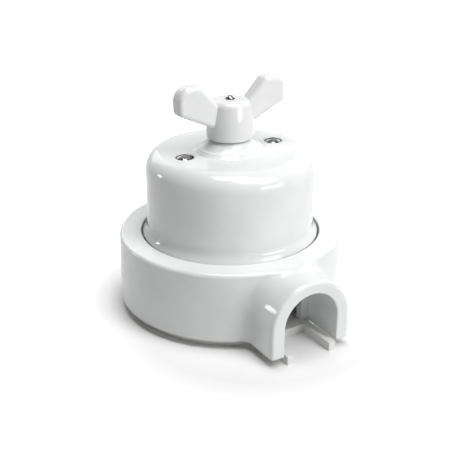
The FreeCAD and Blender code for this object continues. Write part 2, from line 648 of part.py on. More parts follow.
def add_cover():
    """The glazed cap, turned from one profile, foot at its origin."""
    body = new_body("cover", RIM_TOP)
    cove_top = s.cover_flange_height + s.cover_cove_height
    crest = s.cover_height + s.boss_rise
    inner_top = COVER_HEAD - s.cover_wall
    ceiling = s.cover_height - s.crown_thick
    hole = NECK + s.neck_gap
    shoulder = COVER_HEAD - COVER_SCREW - RECESS - s.shoulder_gap
    turn(body, "shell", [
        (COVER_INSIDE, ZERO), (FLANGE, ZERO), (FLANGE, s.cover_flange_height, s.cover_edge_round),
        (COVER_FOOT, s.cover_flange_height + s.cover_cove_rise, s.cover_cove_round), (COVER_FOOT, cove_top),
        (COVER_HEAD, s.cover_height, shoulder),
        (BOSS_FOOT, s.cover_height, s.boss_rise),
        (BOSS_CREST, crest, s.boss_rise),
        (hole, crest, s.fit_gap), (hole, ceiling),
        (inner_top, ceiling, s.cover_wall), (COVER_INSIDE, cove_top)])
    places = [(COVER_SCREW, ZERO), (-COVER_SCREW, ZERO)]
    depth = COVER_TOP - SCREW_SEAT
    drill(body, "screw_recesses", places, RECESS, s.cover_height, depth)
    drill(body, "screw_holes", places, s.cover_shank_radius + s.fit_gap, s.cover_height,
          s.crown_thick * 2)

    def on_recess(edge):
        """The upper edges of the two screw recesses."""
        on_top = all(abs(p.z - s.cover_height.value) < 0.01 for p in points_on(edge))
        from_screw = [math.hypot(abs(p.x) - COVER_SCREW.value, p.y) for p in points_on(edge)]
        return on_top and all(abs(away - RECESS.value) < 0.01 for away in from_screw)

    round_edges(body, "recess_edges", s.recess_round, on_recess)
    return body


def add_knob():
    """The glazed wing knob, neck's foot at its origin: rounded wings first, then the turned hub."""
    body = new_body("knob", KNOB_FOOT)
    collar_top = s.neck_length + s.collar_height
    top = collar_top + s.hub_height
    wings = new_sketch(body, "wing_outline", "XZ_Plane")
    root = HUB_HEAD - s.wing_sink
    tip = COLLAR + s.wing_length
    root_low = collar_top - s.wing_root_drop
    tip_low = root_low + s.wing_rise
    tip_high = tip_low + s.wing_tip_height
    right = [
        (root, root_low, s.wing_root_round), (tip, tip_low, s.wing_low_round),
        (tip, tip_high, s.wing_tip_round), (tip - s.wing_crest_width, tip_high, s.wing_crest_round),
        (root, root_low + s.wing_root_height, s.wing_root_round)]
    left = [(-corner[0], *corner[1:]) for corner in reversed(right)]
    draw_outline(wings, right + left)
    extrude(body, "wings", wings, s.wing_thick, both=True)

    def on_wing_face(edge):
        """The edges round the wings' two broad faces."""
        half = s.wing_thick.value / 2
        return all(abs(abs(p.y) - half) < 0.01 for p in points_on(edge))

    round_edges(body, "wing_edges", s.wing_edge_round, on_wing_face)
    turn(body, "hub", [
        (ZERO, ZERO), (NECK, ZERO), (NECK, s.neck_length),
        (COLLAR, s.neck_length, s.collar_round), (COLLAR, collar_top, s.hub_blend),
        (HUB_HEAD, top, s.hub_round), (ZERO, top)])
    socket = new_sketch(body, "socket_outline", "XY_Plane")
    draw_flatted(socket, BORE, SPINDLE_FLAT + s.run_gap)
    extrude(body, "socket", socket, s.socket_depth, cut=True, flip=True)
    drill(body, "screw_hole", [(ZERO, ZERO)], s.knob_shank_radius + s.run_gap, top, s.hub_height)
    drill(body, "screw_seat", [(ZERO, ZERO)], s.knob_head_radius + s.fit_gap, top, s.knob_head_sink)
    return body


def draw_flatted(sketch, radius, flat):
    """Draws a circle with two flats parallel to X."""
    reach = math.sqrt(radius.value ** 2 - flat.value ** 2)
    start = math.atan2(flat.value, reach)
    circle = Part.Circle(Vector(0, 0, 0), Vector(0, 0, 1), radius.value)
    right = sketch.addGeometry(Part.ArcOfCircle(circle, -start, start), False)
    left = sketch.addGeometry(Part.ArcOfCircle(circle, math.pi - start, math.pi + start), False)
    corner = Vector(reach, flat.value, 0)
    across = Vector(-reach, flat.value, 0)
    top = sketch.addGeometry(Part.LineSegment(corner, across), False)
    low = sketch.addGeometry(Part.LineSegment(-corner, -across), False)
    for before, after in ((right, top), (top, left), (left, low), (low, right)):
        sketch.addConstraint(Sketcher.Constraint("Coincident", before, 2, after, 1))
    for arc in (right, left):
        sketch.addConstraint(Sketcher.Constraint("Coincident", arc, 3, -1, 1))
        hold(sketch, "Radius", radius, arc)
    for shape, height in ((top, flat), (low, -flat)):
        hold(sketch, "DistanceY", height, -1, 1, shape, 1)
        hold(sketch, "DistanceY", height, -1, 1, shape, 2)


def add_spindle():
    """The steel spindle: clip groove, flats for the knob, and a tapped end."""
    body = new_body("spindle", SPINDLE_FOOT)
    groove = CLIP - SPINDLE_FOOT
    tip = SPINDLE_TIP - SPINDLE_FOOT
    tapped = s.knob_shank_radius + s.run_gap
    tapped_foot = tip - s.knob_shank_length
    turn(body, "bar", [
        (ZERO, ZERO), (s.spindle_radius, ZERO, s.fit_gap), (s.spindle_radius, groove),
        (CLIP_GROOVE, groove), (CLIP_GROOVE, groove + s.clip_thick + s.run_gap),
        (s.spindle_radius, groove + s.clip_thick + s.run_gap), (s.spindle_radius, tip, s.fit_gap),
        (tapped, tip), (tapped, tapped_foot), (ZERO, tapped_foot)])
    flats = new_sketch(body, "flats_outline", "XY_Plane", tip)
    beyond = s.spindle_radius * 2
    waste = (beyond - SPINDLE_FLAT) / 2
    draw_rectangle(flats, ZERO, SPINDLE_FLAT + waste, beyond, waste)
    draw_rectangle(flats, ZERO, -SPINDLE_FLAT - waste, beyond, waste)
    extrude(body, "flats", flats, s.socket_depth, cut=True)
    pin = new_sketch(body, "pin_outline", "XZ_Plane")
    draw_circle(pin, ZERO, CAM + s.cam_height / 2 - SPINDLE_FOOT, s.pin_radius + s.pin_gap)
    extrude(body, "pin_hole", pin, s.spindle_radius * 4, both=True, cut=True)
    return body


def add_base_bush():
    """The flanged brass bush in the base, its flange on the plateau."""
    body = new_body("base_bush", PLATEAU)
    edge = BUSH + s.bush_flange_width
    foot = -(s.base_rim_thick + s.plateau_rise)
    turn(body, "bush", [
        (BORE, foot), (BUSH, foot), (BUSH, ZERO), (edge, ZERO),
        (edge, s.bush_flange_thick, s.fit_gap), (BORE, s.bush_flange_thick)])
    return body


def rivet_places():
    """The two rivets' places, along the blade."""
    return [(RIVET, ZERO), (-RIVET, ZERO)]


def add_contact_carrier():
    """The insulating disc under the blade."""
    body = new_body("contact_carrier", CARRIER)
    turn(body, "disc", [
        (BORE, ZERO), (CARRIER_EDGE, ZERO, s.fit_gap),
        (CARRIER_EDGE, s.carrier_thick, s.fit_gap), (BORE, s.carrier_thick)])
    drill(body, "rivet_holes", rivet_places(), s.rivet_radius + s.pin_gap, s.carrier_thick, s.carrier_thick)
    return body


def add_contact_blade():
    """The brass blade, round-ended, along X at rest."""
    body = new_body("contact_blade", BLADE)
    strip = new_sketch(body, "strip_outline", "XY_Plane")
    turned = BLADE_HALF - s.fit_gap
    reach, half = BLADE_TIP, BLADE_HALF
    draw_outline(strip, [
        (-reach, -half, turned), (reach, -half, turned), (reach, half, turned), (-reach, half, turned)])
    extrude(body, "strip", strip, s.blade_thick)
    drill(body, "bore", [(ZERO, ZERO)], BORE, s.blade_thick, s.blade_thick)
    drill(body, "rivet_holes", rivet_places(), s.rivet_radius + s.pin_gap, s.blade_thick, s.blade_thick)
    return body


def add_detent_cam():
    """The square cam that the springs press on, with its rounded corners."""
    body = new_body("detent_cam", CAM)
    square = new_sketch(body, "square_outline", "XY_Plane")
    half = CAM_HALF
    draw_outline(square, [
        (-half, -half, s.cam_round), (half, -half, s.cam_round),
        (half, half, s.cam_round), (-half, half, s.cam_round)])
    extrude(body, "square", square, s.cam_height)
    drill(body, "bore", [(ZERO, ZERO)], BORE, s.cam_height, s.cam_height)
    drill(body, "rivet_holes", rivet_places(), s.rivet_radius + s.pin_gap, s.cam_height, s.cam_height)
    pin = new_sketch(body, "pin_outline", "XZ_Plane")
    draw_circle(pin, ZERO, s.cam_height / 2, s.pin_radius + s.pin_gap)
    extrude(body, "pin_hole", pin, half * 4, both=True, cut=True)
    return body


def add_rotor_rivet(name, side):
    """One rivet from the cam's top down through blade and carrier."""
    length = s.cam_height + s.blade_thick + s.carrier_thick
    head = (s.rivet_head_radius, s.rivet_head_height, s.rivet_head_height - s.run_gap)
    rivet = add_screw(name, head, (s.rivet_radius, length), CAM + s.cam_height, slotted=False)
    return place(rivet, side, x=RIVET)


def add_drive_pin():
    """The cross pin along Y through cam and spindle."""
    pin = doc.addObject("Part::Cylinder", "drive_pin")
    pin.Label = "drive_pin"
    pin.Placement = FreeCAD.Placement(Vector(), FreeCAD.Rotation(Vector(1, 0, 0), 90))
    length = (CAM_HALF - s.fit_gap) * 2
    bind(pin, "Radius", s.pin_radius)
    bind(pin, "Height", length)
    bind(pin, "Placement.Base.y", length / 2)
    bind(pin, "Placement.Base.z", CAM + s.cam_height / 2)
    return pin


def add_detent_spring(name, side):
    """One leaf spring on a flat of the cam, its ends hooked round the bridge's legs."""
    middle = CAM + s.cam_height / 2
    body = new_body(name, middle - s.spring_half_height)
    body.Placement.Rotation = HALF_TURN[side]
    strip = new_sketch(body, "strip_outline", "XY_Plane")
    near = CAM_HALF + s.run_gap
    far = near + s.spring_thick
    hook = BRIDGE_END + s.spring_gap
    end = hook + s.spring_thick
    low = near - s.spring_hook
    draw_outline(strip, [
        (-end, low), (-hook, low), (-hook, near), (hook, near), (hook, low), (end, low),
        (end, far, s.spring_thick - s.run_gap), (-end, far, s.spring_thick - s.run_gap)])
    extrude(body, "strip", strip, s.spring_half_height * 2)
    return body


def add_fork_contact(name, side):
    """A fork contact bent from one sheet: tail under the terminal block, two leaves round the blade."""
    body = new_body(name, PLATEAU)
    body.Placement.Rotation = HALF_TURN[side]
    side = new_sketch(body, "sheet_outline", "YZ_Plane")
    low = BLADE - PLATEAU - s.leaf_gap
    high = low + s.leaf_gap * 2 + s.blade_thick
    back = FORK_WEB + s.leaf_thick
    tip = BLADE_TIP - s.leaf_lap
    draw_outline(side, [
        (FORK_WEB, ZERO), (FORK_END, ZERO), (FORK_END, s.leaf_thick), (back, s.leaf_thick),
        (back, high + s.leaf_thick), (tip, high + s.leaf_thick), (tip, high),
        (FORK_WEB, high), (FORK_WEB, low), (tip, low),
        (tip, low - s.leaf_thick), (FORK_WEB, low - s.leaf_thick)])
    extrude(body, "sheet", side, (BLADE_HALF + s.fork_margin) * 2, both=True)
    drill(body, "screw_hole", [(ZERO, BLOCK_MIDDLE)], s.small_shank_radius + s.fit_gap, s.leaf_thick,
          s.leaf_thick)
    return body


def add_terminal_block(name, side):
    """One brass block with a wire hole across, a clamp screw above and a contact screw below."""
    body = new_body(name, BLOCK)
    body.Placement.Rotation = HALF_TURN[side]
    block = new_sketch(body, "block_outline", "XY_Plane")
    half, turned = s.block_half_width, s.block_round
    draw_outline(block, [
        (-half, BLOCK_NEAR, turned), (half, BLOCK_NEAR, turned),
        (half, BLOCK_FAR, turned), (-half, BLOCK_FAR, turned)])
    extrude(body, "block", block, BLOCK_HEIGHT)
    wire = new_sketch(body, "wire_outline", "YZ_Plane")
    draw_circle(wire, BLOCK_MIDDLE, WIRE_HOLE, s.wire_hole_radius)
    extrude(body, "wire_hole", wire, half * 4, both=True, cut=True)
    middle = [(ZERO, BLOCK_MIDDLE)]
    drill(body, "clamp_thread", middle, THREAD, BLOCK_HEIGHT, BLOCK_HEIGHT - WIRE_HOLE)
    bite = s.contact_bite + s.fit_gap
    drill(body, "contact_thread", middle, THREAD, bite, bite)
    return body


def small_head():
    """Radius, height and dome of the small screws' heads."""
    return (s.small_head_radius, s.small_head_height, s.small_head_dome)


def add_terminal_screw(name, side):
    """One clamp screw, its head a little above the block."""
    seat = BLOCK + BLOCK_HEIGHT + s.clamp_lift
    length = BLOCK_HEIGHT - WIRE_HOLE - s.wire_hole_radius + s.clamp_lift
    screw = add_screw(name, small_head(), (s.small_shank_radius, length), seat)
    return place(screw, side, y=BLOCK_MIDDLE)


def add_contact_screw(name, side):
    """One screw from below, through base and fork into a terminal block."""
    seat = SEAT + SMALL_DEPTH
    length = BLOCK + s.contact_bite - seat
    screw = add_screw(name, small_head(), (s.small_shank_radius, length), seat)
    screw.Placement.Rotation = FreeCAD.Rotation(Vector(1, 0, 0), 180)
    return place(screw, side, y=BLOCK_MIDDLE)


def add_bearing_bridge():
    """The bent steel strap over the rotor: spindle bearing, cover screw threads, notches for the springs."""
    body = new_body("bearing_bridge", PLATEAU)
    sheet = new_sketch(body, "sheet_outline", "XZ_Plane")
    out, top, thick = BRIDGE_END, BRIDGE_TOP - PLATEAU, s.bridge_thick
    inside, under = out - thick, top - thick
    foot = BRIDGE_SCREW - s.small_head_radius - s.foot_margin
    bend, inner_bend = s.bridge_bend, s.bridge_bend - thick
    right = [
        (foot, ZERO), (out, ZERO, bend), (out, top, bend)]
    inner_left = [
        (-foot, thick), (-inside, thick, inner_bend), (-inside, under, inner_bend)]
    left = [(-corner[0], *corner[1:]) for corner in reversed(right)]
    inner_right = [(-corner[0], *corner[1:]) for corner in reversed(inner_left)]
    draw_outline(sheet, right + left + inner_left + inner_right)
    extrude(body, "sheet", sheet, s.bridge_half_width * 2, both=True)
    drill(body, "bearing", [(ZERO, ZERO)], BORE, top, thick)
    threads = [(COVER_SCREW, ZERO), (-COVER_SCREW, ZERO)]
    drill(body, "cover_threads", threads, s.cover_shank_radius + s.run_gap, top, thick)
    feet = [(BRIDGE_SCREW, ZERO), (-BRIDGE_SCREW, ZERO)]
    drill(body, "foot_holes", feet, s.small_shank_radius + s.fit_gap, thick, thick)
    notches = new_sketch(body, "notch_outline", "YZ_Plane")
    near = CAM_HALF + s.run_gap - s.spring_gap
    waste = s.bridge_half_width - near
    middle = CAM + s.cam_height / 2 - PLATEAU
    tall = s.spring_half_height + s.spring_gap
    draw_rectangle(notches, near + waste, middle, waste, tall)
    draw_rectangle(notches, -near - waste, middle, waste, tall)
    extrude(body, "notches", notches, out * 4, both=True, cut=True)
    return body


def add_bridge_screw(name, side):
    """One screw through a foot of the bridge into the base."""
    shank = (s.small_shank_radius, BRIDGE_BITE + s.bridge_thick)
    screw = add_screw(name, small_head(), shank, PLATEAU + s.bridge_thick)
    return place(screw, side, x=BRIDGE_SCREW)


def add_base_screw(name, side):
    """One screw through the base into a pillar of the plate, with the box held between."""
    seat = PLATEAU - SMALL_DEPTH
    shank = (s.base_shank_radius, s.base_shank_length)
    screw = add_screw(name, small_head(), shank, seat)
    return place(screw, side, x=PILLAR, y=PILLAR)


def add_cover_screw(name, side):
    """One bright screw in the cover, its slot turned as seen."""
    head = (s.cover_head_radius, s.cover_head_height, s.cover_head_dome)
    length = SCREW_SEAT - BRIDGE_TOP + s.screw_reach
    screw = add_screw(name, head, (s.cover_shank_radius, length), SCREW_SEAT)
    bind(screw, "Placement.Rotation.Angle", s.slot_turn)
    return place(screw, side, x=COVER_SCREW)


def add_knob_screw():
    """The small domed screw that holds the knob on the spindle."""
    head = (s.knob_head_radius, s.knob_head_height, s.knob_head_dome)
    top = KNOB_FOOT + s.neck_length + s.collar_height + s.hub_height
    shank = (s.knob_shank_radius, s.knob_shank_length)
    return add_screw("knob_screw", head, shank, top - s.knob_head_sink, slotted=False)


def add_thrust_washer():
    """The washer between bridge and clip."""
    body = new_body("thrust_washer", BRIDGE_TOP)
    edge = BORE + s.washer_width
    turn(body, "washer", [(BORE, ZERO), (edge, ZERO), (edge, s.washer_thick), (BORE, s.washer_thick)])
    return body


def add_spindle_clip():
    """The open retaining clip in the spindle's groove."""
    body = new_body("spindle_clip", CLIP)
    bore = CLIP_GROOVE + s.run_gap
    edge = CLIP_GROOVE + s.clip_width
    turn(body, "ring", [(bore, ZERO), (edge, ZERO), (edge, s.clip_thick), (bore, s.clip_thick)])
    opening = new_sketch(body, "opening_outline", "XY_Plane", s.clip_thick)
    draw_rectangle(opening, ZERO, edge, s.clip_mouth / 2, edge)
    extrude(body, "opening", opening, s.clip_thick, cut=True)
    return body


def check(nodes):
    """Stops if any object failed, or any node has no valid solid."""
    for item in doc.Objects:
        if "Invalid" in item.State or "Error" in item.State:
            raise RuntimeError(f"{item.Label} did not compute")
    for node in nodes:
        if node.Shape.isNull() or not node.Shape.isValid() or not node.Shape.Solids:
            raise RuntimeError(f"{node.Label} has no valid solid")


def main():
    """Builds every node, checks it and writes it."""
    nodes = [
        add_surface_box(), add_back_plate(), add_switch_base(), add_cover(), add_knob(), add_knob_screw(),
        add_bearing_bridge(), add_base_bush(), add_spindle(), add_contact_carrier(), add_contact_blade(),
        add_detent_cam(), add_drive_pin(), add_thrust_washer(), add_spindle_clip(),
        add_fork_contact("load_contact", 1), add_fork_contact("line_contact", -1),
        pair("cover_screws", add_cover_screw), pair("base_screws", add_base_screw),
        pair("bridge_screws", add_bridge_screw), pair("contact_screws", add_contact_screw),
        pair("terminal_blocks", add_terminal_block), pair("terminal_screws", add_terminal_screw),
        pair("rotor_rivets", add_rotor_rivet), pair("detent_springs", add_detent_spring)]
    doc.recompute()
    check(nodes)
    os.makedirs("parts", exist_ok=True)
    for node in nodes:
        node.Shape.exportStep(f"parts/{node.Label}.step")


main()
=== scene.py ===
import json
import logging
import math
from dataclasses import dataclass
from enum import Enum
from typing import Any

import bpy
import numpy as np
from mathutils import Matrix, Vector


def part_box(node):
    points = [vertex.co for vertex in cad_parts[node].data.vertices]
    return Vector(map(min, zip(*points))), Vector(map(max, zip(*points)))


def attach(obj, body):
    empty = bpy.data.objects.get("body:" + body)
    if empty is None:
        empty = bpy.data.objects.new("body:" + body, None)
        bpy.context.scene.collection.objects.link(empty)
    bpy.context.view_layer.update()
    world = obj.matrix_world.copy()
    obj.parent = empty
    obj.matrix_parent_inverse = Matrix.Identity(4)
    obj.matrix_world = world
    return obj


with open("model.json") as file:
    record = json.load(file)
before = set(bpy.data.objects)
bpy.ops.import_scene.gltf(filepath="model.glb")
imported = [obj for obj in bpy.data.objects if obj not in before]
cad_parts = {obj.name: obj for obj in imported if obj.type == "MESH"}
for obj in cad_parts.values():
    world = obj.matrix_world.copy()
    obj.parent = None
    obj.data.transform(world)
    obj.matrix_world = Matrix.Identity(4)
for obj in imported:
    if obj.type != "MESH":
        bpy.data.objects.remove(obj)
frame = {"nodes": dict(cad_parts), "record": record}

log = logging.getLogger("rotary_switch")

MM = 0.001
IMAGE_SIDE_PX = 460
SENSOR_MM = 36.0
# The Mix node's sockets in colour mode share their names, so they go by number.
MIX_SHARE, MIX_FIRST, MIX_SECOND, MIX_COLOUR = 0, 6, 7, 2
# Most of a noise texture lies between these two values.
NOISE_LOW, NOISE_HIGH = 0.35, 0.65
# Finer and finer noise laid over the first: more of it breaks up the edges of a cloud.
SMOOTH_DETAIL, BROKEN_DETAIL, RAGGED_DETAIL = 1.0, 3.0, 4.0
# Rays that feel how open a spot is.
AO_SAMPLES = 8
# A speck has faded out at this many times its radius.
SPECK_FADE = 1.4
WHITE = "#FFFFFF"

Tree = bpy.types.NodeTree
Socket = bpy.types.NodeSocket


def linear(hex_colour: str) -> tuple[float, float, float, float]:
    """Turns an sRGB hex colour into linear RGBA.

    Args:
        hex_colour: Six hex digits, with or without a leading hash.

    Returns:
        Linear red, green and blue from 0 to 1, and alpha 1.
    """
    digits = hex_colour.lstrip("#")
    srgb = np.array([int(digits[i:i + 2], 16) for i in (0, 2, 4)]) / 255.0
    # The sRGB standard's own curve.
    rgb = np.where(srgb <= 0.04045, srgb / 12.92, ((srgb + 0.055) / 1.055) ** 2.4)
    return (float(rgb[0]), float(rgb[1]), float(rgb[2]), 1.0)


def per_mm(size_mm: float) -> float:
    """Scale at which a texture in metres has features of a size in millimetres."""
    return 1.0 / (size_mm * MM)


def direction(azimuth_deg: float, elevation_deg: float) -> Vector:
    """Turns two angles into a direction from the object outwards.

    Args:
        azimuth_deg: Angle round Z, 0 along -Y and positive towards +X.
        elevation_deg: Angle above the floor.

    Returns:
        The unit vector.
    """
    azimuth, elevation = math.radians(azimuth_deg), math.radians(elevation_deg)
    level = math.cos(elevation)
    return Vector((math.sin(azimuth) * level, -math.cos(azimuth) * level, math.sin(elevation)))


def add_node(
    tree: Tree,
    kind: str,
    settings: dict[str, Any] | None = None,
    inputs: dict[str | int, Any] | None = None,
) -> bpy.types.Node:
    """Adds one shader node with its settings, socket values and links.

    Args:
        tree: Node tree that gets the node.
        kind: Blender's node type name.
        settings: Node attributes by name.
        inputs: By socket name or number, a value to set or an output socket to link from.

    Returns:
        The new node.
    """
    node = tree.nodes.new(kind)
    for name, value in (settings or {}).items():
        setattr(node, name, value)
    for key, value in (inputs or {}).items():
        if isinstance(value, Socket):
            tree.links.new(value, node.inputs[key])
        else:
            node.inputs[key].default_value = value
    return node


def specks(tree: Tree, place: Socket, apart_mm: float, radius_mm: float, empty: float) -> Socket:
    """Sparse round spots, one at most in each cell: 1 inside a spot, 0 outside.

    Args:
        tree: Node tree.
        place: Coordinates in metres.
        apart_mm: Size of the cells.
        radius_mm: A spot's radius.
        empty: Share of the cells that have no spot.

    Returns:
        The spot mask.
    """
    cells = add_node(tree, "ShaderNodeTexVoronoi", inputs={"Vector": place, "Scale": per_mm(apart_mm)})
    radius = radius_mm / apart_mm
    spot = add_node(tree, "ShaderNodeMapRange", inputs={
        "Value": cells.outputs["Distance"], "From Min": radius, "From Max": SPECK_FADE * radius,
        "To Min": 1.0, "To Max": 0.0}).outputs["Result"]
    lot = add_node(tree, "ShaderNodeSeparateColor", inputs={"Color": cells.outputs["Color"]}).outputs["Red"]
    chosen = add_node(tree, "ShaderNodeMath", {"operation": "GREATER_THAN"}, {
        0: lot, 1: empty}).outputs["Value"]
    return add_node(tree, "ShaderNodeMath", {"operation": "MULTIPLY"}, {
        0: spot, 1: chosen}).outputs["Value"]


class Slot(Enum):
    """The record's material slots of the hidden pieces."""

    BARE = "bare_porcelain"
    STEEL = "spring_steel"
    BRASS = "brass"
    PHENOLIC = "phenolic"


class Grain(Enum):
    """Axis along which a sheet or bar was drawn, as factors that stretch its streaks."""

    X = (0.04, 1.0, 1.0)
    Z = (1.0, 1.0, 0.04)


@dataclass(frozen=True)
class Finish:
    """What every finish has: a name for the material and its making."""

    name: str

    def material(self) -> bpy.types.Material:
        """Makes the material and lets the finish fill its node tree.

        Returns:
            The material.
        """
        made = bpy.data.materials.new(self.name)
        made.use_nodes = True
        tree = made.node_tree
        tree.nodes.clear()
        place = add_node(tree, "ShaderNodeTexCoord").outputs["Object"]
        add_node(tree, "ShaderNodeOutputMaterial", inputs={"Surface": self.shade(tree, place)})
        return made

    def shade(self, tree: Tree, place: Socket) -> Socket:
        """Fills the tree; each finish has its own.

        Args:
            tree: The material's node tree.
            place: Object coordinates in metres.

        Returns:
            The shader output.
        """
        raise NotImplementedError


@dataclass(frozen=True)
class GlazedPorcelain(Finish):
    """White fired body under clear glaze.

    The eye gets a cool white body, sharp small lights on every round from the glaze, a slow
    ripple in those lights, faint clouds, a greyer tone in hollows that is partly glaze pooling there and
    partly painted shade, and here and there a pinhole or an iron speck. The foot stands bare, because glaze
    would stick to the kiln.
    Pinholes and specks are drawn about twice as wide as real ones, so that they show at all.
    """

    colour: str = "#F1F2F2"
    cloud_colour: str = "#EAECEC"
    # The hollows' greyer colour, and the AO reach and range that spread it: partly glaze pooling there,
    # partly painted shade.
    pool_and_shade_colour: str = "#DFDFDB"
    speck_colour: str = "#8E867B"
    bare_colour: str = "#E2E1DE"
    cloud_mm: float = 16.0
    pool_and_shade_mm: float = 1.6
    pool_and_shade_shut: float = 0.35
    pool_and_shade_open: float = 0.85
    ripple_mm: float = 8.0
    ripple_depth_mm: float = 0.03
    pinhole_mm: float = 0.10
    pinhole_depth_mm: float = 0.04
    pinholes_apart_mm: float = 5.0
    pinholes_missing: float = 0.85
    speck_mm: float = 0.11
    specks_apart_mm: float = 9.0
    specks_missing: float = 0.82
    body_roughness: float = 0.45
    body_ior: float = 1.45
    body_shine: float = 0.15
    glaze_ior: float = 1.5
    gloss: float = 0.06
    bare_below_mm: float = 0.0

    def shade(self, tree: Tree, place: Socket) -> Socket:
        """Clouded and specked body, greyer in hollows from glaze pooling and painted shade, under a rippled
        and pinholed coat that ends above the foot.

        Args:
            tree: The material's node tree.
            place: Object coordinates in metres.

        Returns:
            The shader output.
        """
        height = add_node(tree, "ShaderNodeSeparateXYZ", inputs={"Vector": place}).outputs["Z"]
        glazed = add_node(tree, "ShaderNodeMath", {"operation": "GREATER_THAN"}, {
            0: height, 1: self.bare_below_mm * MM}).outputs["Value"]
        # Under the glaze the body has hardly any shine of its own.
        return add_node(tree, "ShaderNodeBsdfPrincipled", inputs={
            "Base Color": self.body(tree, place, glazed), "Roughness": self.body_roughness,
            "IOR": self.body_ior, "Specular IOR Level": self.body_shine, "Coat Weight": glazed,
            "Coat IOR": self.glaze_ior, "Coat Roughness": self.gloss,
            "Coat Normal": self.skin(tree, place)}).outputs["BSDF"]

    def body(self, tree: Tree, place: Socket, glazed: Socket) -> Socket:
        """The body's colour through the glaze.

        Args:
            tree: The material's node tree.
            place: Object coordinates in metres.
            glazed: 1 where the glaze is, 0 on the bare foot.

        Returns:
            The colour.
        """
        cloud = add_node(tree, "ShaderNodeTexNoise", inputs={
            "Vector": place, "Scale": per_mm(self.cloud_mm), "Detail": BROKEN_DETAIL}).outputs["Fac"]
        clouded = add_node(tree, "ShaderNodeMapRange", inputs={
            "Value": cloud, "From Min": NOISE_LOW, "From Max": NOISE_HIGH}).outputs["Result"]
        # Painted shade: where the AO finds little open sky, the body goes greyer. This stands partly for
        # glaze pooling in hollows.
        open_sky = add_node(tree, "ShaderNodeAmbientOcclusion", {"samples": AO_SAMPLES}, {
            "Distance": self.pool_and_shade_mm * MM}).outputs["AO"]
        pooled_and_shaded = add_node(tree, "ShaderNodeMapRange", inputs={
            "Value": open_sky, "From Min": self.pool_and_shade_shut, "From Max": self.pool_and_shade_open,
            "To Min": 1.0, "To Max": 0.0}).outputs["Result"]
        iron = specks(tree, place, self.specks_apart_mm, self.speck_mm, self.specks_missing)
        bare = add_node(tree, "ShaderNodeMath", {"operation": "SUBTRACT"}, {
            0: 1.0, 1: glazed}).outputs["Value"]
        colour: Any = linear(self.colour)
        for share, other in (
                (clouded, self.cloud_colour), (pooled_and_shaded, self.pool_and_shade_colour),
                (iron, self.speck_colour), (bare, self.bare_colour)):
            colour = add_node(tree, "ShaderNodeMix", {"data_type": "RGBA"}, {
                MIX_SHARE: share, MIX_FIRST: colour, MIX_SECOND: linear(other)}).outputs[MIX_COLOUR]
        return colour

    def skin(self, tree: Tree, place: Socket) -> Socket:
        """The glaze's own surface: a slow ripple with a few pinholes in it.

        Args:
            tree: The material's node tree.
            place: Object coordinates in metres.

        Returns:
            The bumped normal.
        """
        swell = add_node(tree, "ShaderNodeTexNoise", inputs={
            "Vector": place, "Scale": per_mm(self.ripple_mm), "Detail": SMOOTH_DETAIL}).outputs["Fac"]
        ripple = add_node(tree, "ShaderNodeBump", inputs={
            "Height": swell, "Distance": self.ripple_depth_mm * MM}).outputs["Normal"]
        pinholes = specks(tree, place, self.pinholes_apart_mm, self.pinhole_mm, self.pinholes_missing)
        return add_node(tree, "ShaderNodeBump", {"invert": True}, {
            "Height": pinholes, "Distance": self.pinhole_depth_mm * MM, "Normal": ripple}).outputs["Normal"]


@dataclass(frozen=True)
class BarePorcelain(Finish):
    """Fired but unglazed body: dry, faintly sandy and a little warmer than the glazed pieces.

    The sand is drawn several times coarser than the real grit, so that it shows.
    """

    colour: str = "#E6E3DC"
    grain_colour: str = "#D6D2C8"
    grain_mm: float = 0.5
    grain_depth_mm: float = 0.03
    drift_mm: float = 11.0
    sand_from: float = 0.12
    sand_to: float = 0.4
    roughness: float = 0.78

    def shade(self, tree: Tree, place: Socket) -> Socket:
        """Fine grain in colour and relief, over slow kiln clouds.

        Args:
            tree: The material's node tree.
            place: Object coordinates in metres.

        Returns:
            The shader output.
        """
        grain = add_node(tree, "ShaderNodeTexNoise", inputs={
            "Vector": place, "Scale": per_mm(self.grain_mm), "Detail": BROKEN_DETAIL}).outputs["Fac"]
        drift = add_node(tree, "ShaderNodeTexNoise", inputs={
            "Vector": place, "Scale": per_mm(self.drift_mm)}).outputs["Fac"]
        share = add_node(tree, "ShaderNodeMath", {"operation": "MULTIPLY"}, {
            0: grain, 1: drift}).outputs["Value"]
        sandy = add_node(tree, "ShaderNodeMapRange", inputs={
            "Value": share, "From Min": self.sand_from, "From Max": self.sand_to}).outputs["Result"]
        body = add_node(tree, "ShaderNodeMix", {"data_type": "RGBA"}, {
            MIX_SHARE: sandy, MIX_FIRST: linear(self.colour), MIX_SECOND: linear(self.grain_colour)})
        relief = add_node(tree, "ShaderNodeBump", inputs={
            "Height": grain, "Distance": self.grain_depth_mm * MM}).outputs["Normal"]
        return add_node(tree, "ShaderNodeBsdfPrincipled", inputs={
            "Base Color": body.outputs[MIX_COLOUR], "Roughness": self.roughness,
            "Normal": relief}).outputs["BSDF"]


